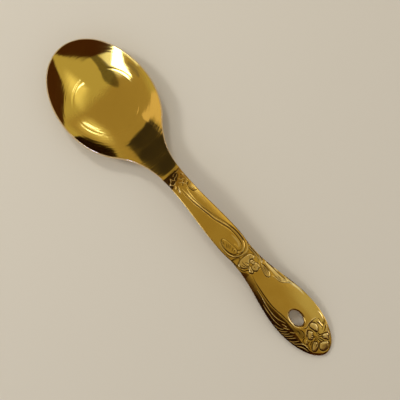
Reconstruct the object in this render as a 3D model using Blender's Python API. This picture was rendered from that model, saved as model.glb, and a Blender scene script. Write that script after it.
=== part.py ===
"""Rice serving spoon: a stamped blank of coated steel, divided across its length into bowl, neck, stem and grip.

Lengths are in metres. X runs from the bowl to the tip of the grip, Z points up, and the spoon lies on z = 0.
"""

import math

import bmesh
import bpy
from mathutils import Vector

# The oval mouth of the bowl, measured along the inner edge of its rim.
MOUTH_LENGTH = 0.0756
MOUTH_WIDTH = 0.0557
BOWL_GAUGE = 0.0012

# The dish: a flat oval foot in its middle, a curve that climbs to the rim, and a rim that dips at the sides.
FOOT_SHARE = 0.24
BOWL_RISE = 0.0124
SIDE_DIP = 0.0026
DISH_POWER = 2.3

# The heel, which climbs on to the neck in a longer and lower curve.
HEEL_START_SHARE = 0.75
HEEL_POWER = 8
HEEL_DIP = 0.0030
HEEL_CURL_SHARE = 0.16
HEEL_FILLET = 0.0007

# The outline from the bowl to the tip, as lengths from one station to the next and full widths at the stations.
FLANK_INSET = 0.0086
FLANK_LENGTH = 0.0346
NECK_WIDTH = 0.0112
SHANK_LENGTH = 0.0447
SHANK_WIDTH = 0.0158
WAIST_LENGTH = 0.0109
WAIST_WIDTH = 0.0144
FLARE_LENGTH = 0.0476
GRIP_WIDTH = 0.0271
TIP_LENGTH = 0.0296

# The arch of the handle in side view, and its metal on the axis and at the edge.
CREST_HEIGHT = 0.0202
FALL_START = 0.0100
FALL_POWER = 1.05
SHANK_GAUGE = 0.0024
SHANK_EDGE = 0.0015
GRIP_GAUGE = 0.0026
GRIP_EDGE = 0.0012
EDGE_ROUND = 0.0003

# The oval hole that the spoon hangs from.
HOLE_LENGTH = 0.0118
HOLE_WIDTH = 0.0079
HOLE_SET_BACK = 0.0007
HOLE_SIDE_SHIFT = -0.0006
HOLE_BEVEL = 0.0006

# The seams between the solids.
BOWL_SEAM_OFFSET = 0.0120
STEM_SEAM_OFFSET = 0.0060
SEAM_GAP = 0.0003

# How finely the curves are divided.
SEAM_STEPS = 8
RIM_STEPS = 64
WALL_RINGS = 13
SIDE_STEPS = 12
STATION_STEP = 0.0026
TIP_STEPS = 12
TIP_TURN = math.radians(84)
HOLE_STEPS = 40
ROUND_STEPS = 2
SLOPE_STEP = 0.00002

# The finish of the metal.
GOLD = (0.62, 0.40, 0.08, 1.0)
POLISHED = 0.08
SATIN = 0.25

# Stations along X, counted from the far end of the mouth.
BOWL_CENTRE = MOUTH_LENGTH / 2
FLANK_START = MOUTH_LENGTH - FLANK_INSET
NECK_STATION = FLANK_START + FLANK_LENGTH
SHANK_STATION = NECK_STATION + SHANK_LENGTH
WAIST_STATION = SHANK_STATION + WAIST_LENGTH
GRIP_STATION = WAIST_STATION + FLARE_LENGTH
FALL_LENGTH = GRIP_STATION + TIP_LENGTH - NECK_STATION
BOWL_SEAM = FLANK_START + BOWL_SEAM_OFFSET
STEM_SEAM = NECK_STATION - STEM_SEAM_OFFSET
GRIP_SEAM = WAIST_STATION


def ease(t):
    """A half cosine wave from 0 to 1."""
    t = min(max(t, 0.0), 1.0)
    return 0.5 - 0.5 * math.cos(math.pi * t)


def round_max(a, b, fillet):
    """The larger of two heights, with a rounded corner where they cross."""
    near = max(fillet - abs(a - b), 0.0) / fillet
    return max(a, b) + near**3 * fillet / 6


def oval_half_width(x):
    t = (x - BOWL_CENTRE) / (MOUTH_LENGTH / 2)
    return MOUTH_WIDTH / 2 * math.sqrt(max(1.0 - t * t, 0.0))


def half_width(x):
    """Half the width of the outline at the station x."""
    if x < FLANK_START:
        return oval_half_width(x)
    if x < NECK_STATION:
        start = oval_half_width(FLANK_START)
        slope = -((MOUTH_WIDTH / MOUTH_LENGTH) ** 2) * (FLANK_START - BOWL_CENTRE) / start
        t = (x - FLANK_START) / FLANK_LENGTH
        leave = (2 * t**3 - 3 * t**2 + 1) * start + (t**3 - 2 * t**2 + t) * FLANK_LENGTH * slope
        return leave + (3 * t**2 - 2 * t**3) * NECK_WIDTH / 2
    if x < SHANK_STATION:
        return (NECK_WIDTH + (SHANK_WIDTH - NECK_WIDTH) * ease((x - NECK_STATION) / SHANK_LENGTH)) / 2
    if x < WAIST_STATION:
        return (SHANK_WIDTH + (WAIST_WIDTH - SHANK_WIDTH) * ease((x - SHANK_STATION) / WAIST_LENGTH)) / 2
    if x < GRIP_STATION:
        return (WAIST_WIDTH + (GRIP_WIDTH - WAIST_WIDTH) * ease((x - WAIST_STATION) / FLARE_LENGTH)) / 2
    t = (x - GRIP_STATION) / TIP_LENGTH
    return GRIP_WIDTH / 2 * math.sqrt(max(1.0 - t * t, 0.0))


def mouth_share(x, y):
    """How far out in the bowl a point is: 0 at its centre and 1 at the oval of the mouth."""
    return math.hypot((x - BOWL_CENTRE) / (MOUTH_LENGTH / 2), y / (MOUTH_WIDTH / 2))


def bowl_height(x, y):
    """The inner face of the bowl: foot and dish, with the heel carried on towards the handle."""
    out = mouth_share(x, y)
    if out <= FOOT_SHARE:
        return BOWL_GAUGE
    radius = math.hypot(x - BOWL_CENTRE, y)
    heel = ((1 + (x - BOWL_CENTRE) / radius) / 2) ** HEEL_POWER
    inside = min(out, 1 - (1 - HEEL_START_SHARE) * heel)
    past = out - inside
    climb = inside**DISH_POWER + DISH_POWER * inside ** (DISH_POWER - 1) * past + HEEL_CURL_SHARE * past**2
    rise = BOWL_RISE - SIDE_DIP * (y / radius) ** 2 - HEEL_DIP * heel
    return BOWL_GAUGE + rise * (climb - FOOT_SHARE**DISH_POWER)


def crown_at(x):
    """How much higher the face is on the axis than at the edge."""
    shank = SHANK_GAUGE - SHANK_EDGE
    grip = GRIP_GAUGE - GRIP_EDGE
    grown = shank * ease((x - BOWL_SEAM) / (SHANK_STATION - BOWL_SEAM))
    return grown + (grip - shank) * ease((x - WAIST_STATION) / FLARE_LENGTH)


def crown_shape(x, y):
    """0 on the axis and 1 at the edge: a gentle arch that rolls over near the edge."""
    if x < BOWL_SEAM:
        return 0.0
    share = y / half_width(min(x, GRIP_STATION))
    share = math.hypot(share, max(x - GRIP_STATION, 0.0) / TIP_LENGTH)
    return (share**2 + share**6) / 2


def fall(x):
    """How far the handle has come down from its crest: 0 at the neck and 1 at the tip, where it meets the table."""
    along = math.hypot(max(x - NECK_STATION, 0.0), FALL_START) - FALL_START
    whole = math.hypot(FALL_LENGTH, FALL_START) - FALL_START
    return 1 - max(1 - along / whole, 0.0) ** FALL_POWER


def handle_height(x, y):
    middle = CREST_HEIGHT + (GRIP_GAUGE - CREST_HEIGHT) * fall(x)
    return middle - crown_at(x) * crown_shape(x, y)


def face_height(x, y):
    """The upper face of the whole spoon."""
    return -round_max(-bowl_height(x, y), -handle_height(x, y), HEEL_FILLET)


def gauge(x, y):
    """The thickness of the metal, which grows from the bowl to the neck and thins to the edge of the handle."""
    grown = BOWL_GAUGE + (SHANK_GAUGE - BOWL_GAUGE) * ease((x - FLANK_START) / FLANK_LENGTH)
    middle = grown + (GRIP_GAUGE - SHANK_GAUGE) * fall(x)
    return middle - crown_at(x) * crown_shape(x, y)


def face_normal(x, y):
    if mouth_share(x, y) < FOOT_SHARE * 1.001:
        return Vector((0, 0, 1))
    slope_x = (face_height(x + SLOPE_STEP, y) - face_height(x - SLOPE_STEP, y)) / (2 * SLOPE_STEP)
    slope_y = (face_height(x, y + SLOPE_STEP) - face_height(x, y - SLOPE_STEP)) / (2 * SLOPE_STEP)
    return Vector((-slope_x, -slope_y, 1)).normalized()


def foot_radius(turn):
    """How far the edge of the foot is from the bowl's centre in this direction."""
    return FOOT_SHARE / mouth_share(BOWL_CENTRE + math.cos(turn), math.sin(turn))


def rim_radius(turn):
    """How far the outline or the bowl's seam is from the bowl's centre in this direction."""
    cosine = math.cos(turn)
    sine = abs(math.sin(turn))
    seam = BOWL_SEAM - SEAM_GAP / 2 - BOWL_CENTRE
    near = foot_radius(turn)
    far = max(MOUTH_LENGTH, seam)
    if cosine > 0:
        far = min(far, seam / cosine)
    for _ in range(60):
        middle = (near + far) / 2
        if middle * sine < half_width(BOWL_CENTRE + middle * cosine):
            near = middle
        else:
            far = middle
    return near


def bowl_turns():
    """Directions from the bowl's centre: across the seam to the neck first, then round the rim."""
    seam = BOWL_SEAM - SEAM_GAP / 2
    corner = math.atan2(half_width(seam), seam - BOWL_CENTRE)
    across = [corner * (2 * i / SEAM_STEPS - 1) for i in range(SEAM_STEPS)]
    around = [corner + (2 * math.pi - 2 * corner) * i / RIM_STEPS for i in range(RIM_STEPS)]
    return across + around


def bowl_sheet(mesh):
    """The upper face of the bowl: the foot as a disc, grown ring by ring to the rim. Marks the edges of the rim."""
    rim = mesh.edges.layers.int.new("rim")
    turns = bowl_turns()
    place = mesh.verts.layers.int.new("turn")
    disc = bmesh.ops.create_circle(mesh, cap_ends=True, radius=1, segments=len(turns))
    foot = [foot_radius(turn) for turn in turns]
    reach = [rim_radius(turn) for turn in turns]
    for index, vert in enumerate(disc["verts"]):
        vert[place] = index
        along = foot[index] * math.cos(turns[index])
        vert.co = (BOWL_CENTRE + along, foot[index] * math.sin(turns[index]), BOWL_GAUGE)
    edges = mesh.edges[:]
    for ring in range(1, WALL_RINGS + 1):
        grown = bmesh.ops.extrude_edge_only(mesh, edges=edges)["geom"]
        for vert in grown:
            if not isinstance(vert, bmesh.types.BMVert):
                continue
            turn = turns[vert[place]]
            near = foot[vert[place]]
            radius = near + (reach[vert[place]] - near) * ring / WALL_RINGS
            x = BOWL_CENTRE + radius * math.cos(turn)
            y = radius * math.sin(turn)
            vert.co = (x, y, face_height(x, y))
        edges = [edge for edge in mesh.edges if edge.is_boundary]
    for edge in edges:
        edge[rim] = not all(vert[place] <= SEAM_STEPS for vert in edge.verts)


def strip_sheet(mesh, stations):
    """The upper face of a length of handle: a grid drawn into the outline. Marks the edges of the outline."""
    rim = mesh.edges.layers.int.new("rim")
    grid = bmesh.ops.create_grid(mesh, x_segments=len(stations) - 1, y_segments=SIDE_STEPS, size=1)
    last = len(stations) - 1
    outline = set()
    for vert in grid["verts"]:
        index = round((vert.co.x + 1) / 2 * last)
        share = vert.co.y
        at_tip = index == last and stations[last] > GRIP_STATION
        if abs(share) > 0.999 or at_tip:
            outline.add(vert)
        x = stations[index]
        y = share * half_width(x)
        vert.co = (x, y, face_height(x, y))
    for edge in mesh.edges:
        edge[rim] = edge.is_boundary and all(vert in outline for vert in edge.verts)


def thicken(mesh):
    """Gives the sheet its gauge and rounds the marked edges."""
    rim = mesh.edges.layers.int["rim"]
    under = bmesh.ops.extrude_face_region(mesh, geom=mesh.faces[:])["geom"]
    for vert in under:
        if isinstance(vert, bmesh.types.BMVert):
            x, y, _ = vert.co
            vert.co = vert.co - face_normal(x, y) * gauge(x, y)
    bmesh.ops.recalc_face_normals(mesh, faces=mesh.faces[:])
    rounded = [edge for edge in mesh.edges if edge[rim]]
    bmesh.ops.bevel(
        mesh,
        geom=rounded,
        offset=EDGE_ROUND,
        offset_type="OFFSET",
        segments=ROUND_STEPS,
        profile=0.5,
        affect="EDGES",
        clamp_overlap=True,
    )


def gold_material(name, roughness):
    material = bpy.data.materials.new(name)
    material.use_nodes = True
    shader = material.node_tree.nodes["Principled BSDF"]
    shader.inputs["Base Color"].default_value = GOLD
    shader.inputs["Metallic"].default_value = 1.0
    shader.inputs["Roughness"].default_value = roughness
    return material


def add_object(name, mesh, roughness):
    data = bpy.data.meshes.new(name)
    mesh.to_mesh(data)
    mesh.free()
    for face in data.polygons:
        face.use_smooth = True
    data.materials.append(gold_material(name + "_gold", roughness))
    made = bpy.data.objects.new(name, data)
    bpy.context.scene.collection.objects.link(made)
    return made


def spaced(start, end):
    count = max(4, math.ceil((end - start) / STATION_STEP))
    return [start + (end - start) * i / count for i in range(count + 1)]


def strip_object(name, stations, roughness):
    mesh = bmesh.new()
    strip_sheet(mesh, stations)
    thicken(mesh)
    return add_object(name, mesh, roughness)


def hole_cutter():
    """An oval pin with a wider head, which leaves a bevelled edge on the upper face."""
    centre = Vector((GRIP_STATION + HOLE_SET_BACK, HOLE_SIDE_SHIFT, 0))
    level = face_height(centre.x, centre.y)
    rings = [
        (-GRIP_GAUGE, 0.0),
        (level - HOLE_BEVEL, 0.0),
        (level + GRIP_GAUGE, HOLE_BEVEL + GRIP_GAUGE),
    ]
    mesh = bmesh.new()
    place = mesh.verts.layers.float_vector.new("turn")
    verts = bmesh.ops.create_circle(mesh, cap_ends=True, radius=1, segments=HOLE_STEPS)["verts"]
    for vert in verts:
        vert[place] = vert.co
    for height, wider in rings:
        if height > rings[0][0]:
            rim = [edge for edge in mesh.edges if edge.is_boundary]
            grown = bmesh.ops.extrude_edge_only(mesh, edges=rim)["geom"]
            verts = [item for item in grown if isinstance(item, bmesh.types.BMVert)]
        for vert in verts:
            along = vert[place].x * (HOLE_LENGTH / 2 + wider)
            across = vert[place].y * (HOLE_WIDTH / 2 + wider)
            vert.co = centre + Vector((along, across, height))
    bmesh.ops.edgeloop_fill(mesh, edges=[edge for edge in mesh.edges if edge.is_boundary])
    bmesh.ops.recalc_face_normals(mesh, faces=mesh.faces[:])
    cutter = add_object("hole_cutter", mesh, SATIN)
    cutter.hide_render = True
    cutter.display_type = "WIRE"
    return cutter


for old in list(bpy.data.objects):
    bpy.data.objects.remove(old)

bowl_mesh = bmesh.new()
bowl_sheet(bowl_mesh)
thicken(bowl_mesh)
bowl = add_object("bowl", bowl_mesh, POLISHED)

neck = strip_object("neck", spaced(BOWL_SEAM + SEAM_GAP / 2, STEM_SEAM - SEAM_GAP / 2), POLISHED)
stem = strip_object("stem", spaced(STEM_SEAM + SEAM_GAP / 2, GRIP_SEAM - SEAM_GAP / 2), SATIN)

tip = [GRIP_STATION + TIP_LENGTH * math.sin(TIP_TURN * i / TIP_STEPS) for i in range(1, TIP_STEPS + 1)]
grip = strip_object("grip", spaced(GRIP_SEAM + SEAM_GAP / 2, GRIP_STATION) + tip, SATIN)

cutter = hole_cutter()
hole = grip.modifiers.new("hanging_hole", "BOOLEAN")
hole.operation = "DIFFERENCE"
hole.solver = "EXACT"
hole.object = cutter

# The origin is under the middle of the spoon.
parts = [bowl, neck, stem, grip]
ends = [vert.co.x for part in parts for vert in part.data.vertices]
middle = (min(ends) + max(ends)) / 2
for part in parts + [cutter]:
    for vert in part.data.vertices:
        vert.co.x -= middle
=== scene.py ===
# %% [markdown]
# # A gold-coloured rice serving spoon
# The real spoon is one stamped steel blank with a gold coat: a dished mirror bowl, a short neck, and a
# solid handle with a raised flower-and-scroll ornament and a hanging hole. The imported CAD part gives
# its sizes and place. This lesson dresses it with smooth polished faces and the ornament in real relief.

import math

import bmesh
import bpy
import numpy as np
from mathutils import Matrix, Vector


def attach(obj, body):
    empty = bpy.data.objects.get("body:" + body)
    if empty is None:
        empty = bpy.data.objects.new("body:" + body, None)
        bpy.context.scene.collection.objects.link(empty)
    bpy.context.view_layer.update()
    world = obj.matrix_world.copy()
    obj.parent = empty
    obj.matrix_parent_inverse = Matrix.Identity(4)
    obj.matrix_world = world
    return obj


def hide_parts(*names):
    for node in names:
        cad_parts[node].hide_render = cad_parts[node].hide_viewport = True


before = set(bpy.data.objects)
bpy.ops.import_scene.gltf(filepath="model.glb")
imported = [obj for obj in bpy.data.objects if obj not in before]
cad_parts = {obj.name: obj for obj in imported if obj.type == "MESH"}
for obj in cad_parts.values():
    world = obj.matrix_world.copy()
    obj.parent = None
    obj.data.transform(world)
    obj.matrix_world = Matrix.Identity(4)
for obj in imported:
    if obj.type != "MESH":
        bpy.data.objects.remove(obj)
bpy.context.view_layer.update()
print("CAD nodes:", sorted(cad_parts))

# %% [markdown]
# ## The camera
# The photograph was taken from almost straight above, about 30 cm over the table, with the spoon lying
# across the frame. A camera can be placed by eye, but here its place was fitted to the spoon's outline,
# so the eye point, the point it looks at and its roll are written as plain numbers.

# %% Place the camera
EYE = Vector((0.0005, -0.0080, 0.3000))
LOOKED_AT = Vector((0.0005, 0.0028, 0.0080))
ROLL = math.radians(48.63)
LENS_MM, SENSOR_MM = 45.47, 36.0
NEAREST_SEEN = 0.01

bpy.ops.object.select_all(action="DESELECT")
bpy.ops.object.camera_add(location=EYE)
camera = bpy.context.object
back = (EYE - LOOKED_AT).normalized()
right = Vector((math.cos(ROLL), math.sin(ROLL), 0))
right = (right - right.dot(back) * back).normalized()
upward = back.cross(right)
camera.matrix_world = Matrix.Translation(EYE) @ Matrix((right, upward, back)).transposed().to_4x4()
camera.data.lens = LENS_MM
camera.data.sensor_width = SENSOR_MM
camera.data.clip_start = NEAREST_SEEN
bpy.context.scene.camera = camera
print("camera looks down at", round(math.degrees(math.asin(back.z)), 1), "degrees")

# %% [markdown]
# ## Plan of the spoon
# All lengths below are in millimetres along the spoon, counted from the far end of the bowl's mouth, as
# a maker would mark stations on a drawing. The outline is an oval mouth, two flanks that draw in to the
# neck, a slim stem, and a grip that flares and ends in half an ellipse. It could be traced by hand, but
# formulas keep it smooth, which a mirror finish needs: any flat facet would break the reflections.

# %% Stations and widths
MOUTH_LENGTH, MOUTH_WIDTH = 75.6, 55.7
BOWL_CENTRE = MOUTH_LENGTH / 2
FLANK_START, STEM_START, NECK, SHANK, WAIST, GRIP = 67.0, 95.6, 101.6, 146.3, 157.2, 204.8
NECK_WIDTH, SHANK_WIDTH, WAIST_WIDTH, GRIP_WIDTH = 11.2, 15.8, 14.4, 27.1
FLANK_LENGTH, TIP_LENGTH = NECK - FLANK_START, 29.6
HOLE_CENTRE, HOLE_SIDE_SHIFT, HOLE_LENGTH, HOLE_WIDTH = 206.3, -0.4, 11.6, 6.9
# The row frame has its origin under the middle of the spoon, so a station moves by about half its length.
MIDDLE = 116.8061
MM = 0.001


def ease(t):
    """A smooth step from 0 to 1."""
    return 0.5 - 0.5 * np.cos(np.pi * np.clip(t, 0, 1))


def half_width(x):
    """Half the spoon's width at each station."""
    share = (FLANK_START - BOWL_CENTRE) / BOWL_CENTRE
    start = MOUTH_WIDTH / 2 * math.sqrt(1 - share**2)
    slope = -((MOUTH_WIDTH / MOUTH_LENGTH) ** 2) * (FLANK_START - BOWL_CENTRE) / start
    t = np.clip((x - FLANK_START) / FLANK_LENGTH, 0, 1)
    oval = MOUTH_WIDTH / 2 * np.sqrt(np.maximum(1 - ((x - BOWL_CENTRE) / BOWL_CENTRE) ** 2, 0))
    flank = (2 * t**3 - 3 * t**2 + 1) * start + (t**3 - 2 * t**2 + t) * slope * FLANK_LENGTH
    flank = flank + (3 * t**2 - 2 * t**3) * NECK_WIDTH / 2
    handle = NECK_WIDTH / 2 + (SHANK_WIDTH - NECK_WIDTH) / 2 * ease((x - NECK) / (SHANK - NECK))
    handle = handle + (WAIST_WIDTH - SHANK_WIDTH) / 2 * ease((x - SHANK) / (WAIST - SHANK))
    handle = handle + (GRIP_WIDTH - WAIST_WIDTH) / 2 * ease((x - WAIST) / (GRIP - WAIST))
    tip = GRIP_WIDTH / 2 * np.sqrt(np.maximum(1 - ((x - GRIP) / TIP_LENGTH) ** 2, 0))
    return np.select([x < FLANK_START, x < NECK, x < GRIP], [oval, flank, handle], tip)


print("half widths at neck, shank, waist, grip:", half_width(np.array([NECK, SHANK, WAIST, GRIP])))

# %% [markdown]
# ## Heights of the face and the underside
# The bowl is a dish that climbs as a power of the distance from its middle. Its sides stay lower than its
# ends, and a faint ring is creased into its floor. At the heel the climb runs on as a nearly straight ramp.
# The handle falls from its crest to the tip in one nearly straight line. The face is the lower of bowl and
# handle, rounded where the two meet at the crest, and the underside is the face moved in by the gauge, the
# thickness of the metal. It could be sculpted, but formulas leave no ripples for a mirror to show.

# %% The bowl's dish
BOWL_LOWEST, BOWL_RISE, SIDE_DIP, DISH_POWER = 0.8, 12.4, 2.6, 2.3
FLOOR_RADIUS, CREASE_HALF, CREASE_HEIGHT = 19.55, 0.9, 0.055
HEEL_START, HEEL_POWER, HEEL_DIP, HEEL_CURL = 0.75, 8, 3.0, 0.16
# The least divisor, so that no formula divides by 0.
TINY = 1e-6


def bowl_height(x, y):
    """The height of the dish and its heel, as if they ran on for ever."""
    along = x - BOWL_CENTRE
    radius = np.maximum(np.hypot(along, y), TINY)
    cosine, sine = along / radius, y / radius
    out = np.hypot(along / BOWL_CENTRE, y / (MOUTH_WIDTH / 2))
    heel = ((1 + cosine) / 2) ** HEEL_POWER
    inside = np.minimum(out, 1 - (1 - HEEL_START) * heel)
    past = out - inside
    climb = inside**DISH_POWER + DISH_POWER * inside ** (DISH_POWER - 1) * past + HEEL_CURL * past**2
    crease = CREASE_HEIGHT * (1 - ease(np.abs(radius - FLOOR_RADIUS) / CREASE_HALF))
    return BOWL_LOWEST + (BOWL_RISE - SIDE_DIP * sine**2 - HEEL_DIP * heel) * climb + crease


print("bowl height at its far end and middle:", bowl_height(np.array([0, BOWL_CENTRE]), np.zeros(2)))

# %% The handle's fall and crown
CREST_HEIGHT, CROWN_START = 20.2, 79.0
FALL_START, FALL_POWER, FALL_LENGTH = 10.0, 1.05, GRIP + TIP_LENGTH - NECK
SHANK_GAUGE, SHANK_EDGE, GRIP_GAUGE = 2.4, 1.5, 2.6
ARCH_SHARE = 0.35
BEVEL_STATIONS = [160, 168, 175, 185, 195, 205, 211, 216, 221, 227, 235]
BEVEL_WIDTHS = [0.8, 3.6, 4.5, 5.5, 6.4, 7.2, 6.8, 5.6, 3.8, 1.8, 1.0]
BEVEL_SLOPE, BEVEL_CURVE, BEVEL_BLEND, BEVEL_TURN = 0.14, 0.017, 10.0, 6.0
FAR_BEVEL, FAR_CURVE = 8.0, 0.0125
PANEL_ARCH, PANEL_HALF = 0.006, 8.0


def fall(x):
    """How far the handle has come down from its crest: 0 at the neck and 1 at the tip."""
    along = np.hypot(np.maximum(x - NECK, 0), FALL_START) - FALL_START
    whole = math.hypot(FALL_LENGTH, FALL_START) - FALL_START
    return 1 - np.maximum(1 - along / whole, 0) ** FALL_POWER


def from_edge(x, y):
    """How far a point of the handle is from the outline."""
    past = np.maximum(x - GRIP, 0)
    width = half_width(np.clip(x, CROWN_START, GRIP))
    share = np.maximum(np.hypot(y / width, past / TIP_LENGTH), TINY)
    steep = np.hypot(y / width**2, past / TIP_LENGTH**2) / share
    return np.where(x < GRIP, width - np.abs(y), (1 - share) / np.maximum(steep, TINY))


def crown(x, y):
    """How far the face drops below its middle plane: a soft arch on the stem, two bevels on the grip."""
    most = (SHANK_GAUGE - SHANK_EDGE) * ease((x - CROWN_START) / (SHANK - CROWN_START))
    share = y / half_width(np.clip(x, CROWN_START, GRIP))
    arch = most * ARCH_SHARE * (share**2 + share**4)
    edge = from_edge(x, y)
    near = np.maximum(np.interp(x, BEVEL_STATIONS, BEVEL_WIDTHS) - edge, 0)
    near = BEVEL_SLOPE * near + BEVEL_CURVE * near**2
    far = FAR_CURVE * np.maximum(FAR_BEVEL - edge, 0) ** 2
    panel = PANEL_ARCH * y**2 / (1 + (y / PANEL_HALF) ** 2)
    bevel = near + (far - near) * ease(0.5 + y / BEVEL_TURN) + panel
    return np.where(x < CROWN_START, 0, arch + (bevel - arch) * ease((x - WAIST) / BEVEL_BLEND))


print("share of the fall at waist and grip:", fall(np.array([WAIST, GRIP])))

# %% Face, gauge and underside
BOWL_GAUGE, HEEL_FILLET, SLOPE_STEP = 1.2, 4.2, 0.05


def round_min(a, b, fillet):
    """The lower of two heights, with a fillet where they cross."""
    near = np.maximum(fillet - np.abs(a - b), 0) / fillet
    return np.minimum(a, b) - near**3 * fillet / 6


def face_height(x, y):
    """The height of the upper face, without the ornament."""
    handle = CREST_HEIGHT + (GRIP_GAUGE - CREST_HEIGHT) * fall(x) - crown(x, y)
    return round_min(bowl_height(x, y), handle, HEEL_FILLET)


def gauge(x, y):
    """The thickness of the metal, which follows the crown, so that the underside stays plain."""
    grown = BOWL_GAUGE + (SHANK_GAUGE - BOWL_GAUGE) * ease((x - FLANK_START) / FLANK_LENGTH)
    return grown + (GRIP_GAUGE - SHANK_GAUGE) * fall(x) - crown(x, y)


def under_points(x, y):
    """The face's points moved in along the surface by the gauge, and never below the table."""
    slope_x = (face_height(x + SLOPE_STEP, y) - face_height(x - SLOPE_STEP, y)) / (2 * SLOPE_STEP)
    slope_y = (face_height(x, y + SLOPE_STEP) - face_height(x, y - SLOPE_STEP)) / (2 * SLOPE_STEP)
    length = np.sqrt(slope_x**2 + slope_y**2 + 1)
    thick = gauge(x, y)
    height = face_height(x, y) - thick / length
    return x + thick * slope_x / length, y + thick * slope_y / length, np.maximum(height, 0)


print("face height at bowl, neck and grip:", face_height(np.array([BOWL_CENTRE, NECK, GRIP]), np.zeros(3)))

# %% [markdown]
# ## Helpers for a dished sheet
# A face like this could be sculpted, but a sheet whose points are set by the formulas is exact. Each
# piece starts as a grid primitive, its points are moved onto the face, and edit mode's extrude gives the
# underside and the rim. The rim's edges are then bevelled, since stamped edges are tumbled round.

# %% Grids and their points
def points_of(piece):
    """The places of the mesh's points in metres, one row each."""
    flat = np.empty(len(piece.data.vertices) * 3)
    piece.data.vertices.foreach_get("co", flat)
    return flat.reshape(-1, 3)


def place(piece, x, y, z):
    """Puts the points at stations along and across the spoon, and at heights, all in mm."""
    spots = np.stack([x - MIDDLE, y, z], axis=1) * MM
    piece.data.vertices.foreach_set("co", spots.ravel())
    piece.data.update()


def new_grid(name, columns, rows):
    """A grid, with the place of each point along it, from 0 to 1, and across it, from -1 to 1."""
    bpy.ops.object.select_all(action="DESELECT")
    bpy.ops.mesh.primitive_grid_add(x_subdivisions=columns, y_subdivisions=rows, size=2)
    piece = bpy.context.object
    piece.name = piece.data.name = name
    flat = points_of(piece)
    return piece, flat[:, 0] / 2 + 0.5, flat[:, 1]


def set_attribute(piece, name, values):
    """Stores one value per point, which tools and materials then read by its name."""
    layer = piece.data.attributes.get(name) or piece.data.attributes.new(name, "FLOAT", "POINT")
    layer.data.foreach_set("value", np.asarray(values, np.float32))


print("the grid's stations are", MIDDLE, "mm from the frame's")

# %% Thickness and rim
RIM_ROUND, RIM_SEGMENTS = 0.35, 3
# Within the first distance of a seam a point is on it. Edges within the second are left unrounded.
ON_SEAM, NEAR_SEAM = 0.001, 0.3
# In radians: edges on the rim that turn more than the first are rounded, and edges that turn more than the
# second look sharp.
RIM_TURN, CREASE_TURN = 0.7, math.radians(50)


def give_thickness(piece):
    """Extrudes the sheet and says which points are its face. The others go to the underside."""
    bpy.ops.object.mode_set(mode="EDIT")
    bpy.ops.mesh.select_all(action="SELECT")
    bpy.ops.mesh.extrude_region_move()
    bpy.ops.object.mode_set(mode="OBJECT")
    is_face = np.zeros(len(piece.data.vertices), bool)
    piece.data.vertices.foreach_get("select", is_face)
    spots = points_of(piece) / MM
    return is_face, spots[:, 0] + MIDDLE, spots[:, 1]


def set_heights(piece, is_face, x, y, seams, relief=0.0):
    """Puts the face at its height with the relief on it, and the other points on the underside."""
    under = under_points(x, y)
    at_seam = np.any([np.abs(x - seam) < ON_SEAM for seam in seams], axis=0)
    place(
        piece,
        np.where(is_face | at_seam, x, under[0]),
        np.where(is_face, y, under[1]),
        np.where(is_face, face_height(x, y) + relief, under[2]),
    )


def round_rim(piece, seams):
    """Bevels the sharp edges of the rim, apart from those on a seam with the next piece."""
    bpy.ops.object.mode_set(mode="EDIT")
    bpy.ops.mesh.select_all(action="DESELECT")
    bpy.ops.mesh.select_mode(type="EDGE")
    mesh = bmesh.from_edit_mesh(piece.data)
    rim = mesh.verts.layers.float["rim"]
    count = 0
    for edge in mesh.edges:
        ends = [vertex.co.x / MM + MIDDLE for vertex in edge.verts]
        on_seam = any(max(abs(end - seam) for end in ends) < NEAR_SEAM for seam in seams)
        on_rim = all(vertex[rim] > 0.5 for vertex in edge.verts)
        if on_rim and not on_seam and edge.calc_face_angle(0) > RIM_TURN:
            edge.select = True
            count += 1
    bmesh.update_edit_mesh(piece.data)
    bpy.ops.mesh.bevel(offset=RIM_ROUND * MM, segments=RIM_SEGMENTS, affect="EDGES", clamp_overlap=True)
    bpy.ops.mesh.select_all(action="SELECT")
    bpy.ops.mesh.normals_make_consistent(inside=False)
    bpy.ops.object.mode_set(mode="OBJECT")
    bpy.ops.object.shade_smooth_by_angle(angle=CREASE_TURN)
    print(piece.name, "rim edges rounded:", count)


print("rim rounding in mm:", RIM_ROUND)

# %% [markdown]
# ## Bowl and neck
# The bowl and the neck are one mirror-polished surface, so they are one piece here, with no seam where
# the reflections run on. A grid is wrapped round the bowl's centre as a sheet of paper rolls into a cone:
# its columns become rays and its rows become rings, closer together at the crease. A round disc could be
# stretched to the outline instead, but then its rings wouldn't follow the crease, which stays round.

# %% Rays and rings
SEAM_RAYS, FLANK_RAYS, MOUTH_RAYS = 16, 44, 130
FLOOR_RINGS, CREASE_RINGS, WALL_RINGS = 30, 22, 44
CREASE_REACH = 2.2

seam_side = np.linspace(0, 1, SEAM_RAYS, endpoint=False) * half_width(np.array([STEM_START]))
flank_x = np.linspace(STEM_START, FLANK_START, FLANK_RAYS, endpoint=False)
turn = np.linspace(math.acos((FLANK_START - BOWL_CENTRE) / BOWL_CENTRE), math.pi, MOUTH_RAYS + 1)
ends_x = np.concatenate([np.full(SEAM_RAYS, STEM_START), flank_x, BOWL_CENTRE * (1 + np.cos(turn))])
ends_y = np.concatenate([seam_side, half_width(flank_x), MOUTH_WIDTH / 2 * np.sin(turn)])
ends_x = np.concatenate([ends_x, ends_x[-2::-1]])
ends_y = np.concatenate([ends_y, -ends_y[-2::-1]])
rays = len(ends_x) - 1
rings = FLOOR_RINGS + CREASE_RINGS + WALL_RINGS
print("rays:", rays, "rings:", rings)

# %% Bowl and neck mesh
SAME_POINT = 1e-7

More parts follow.
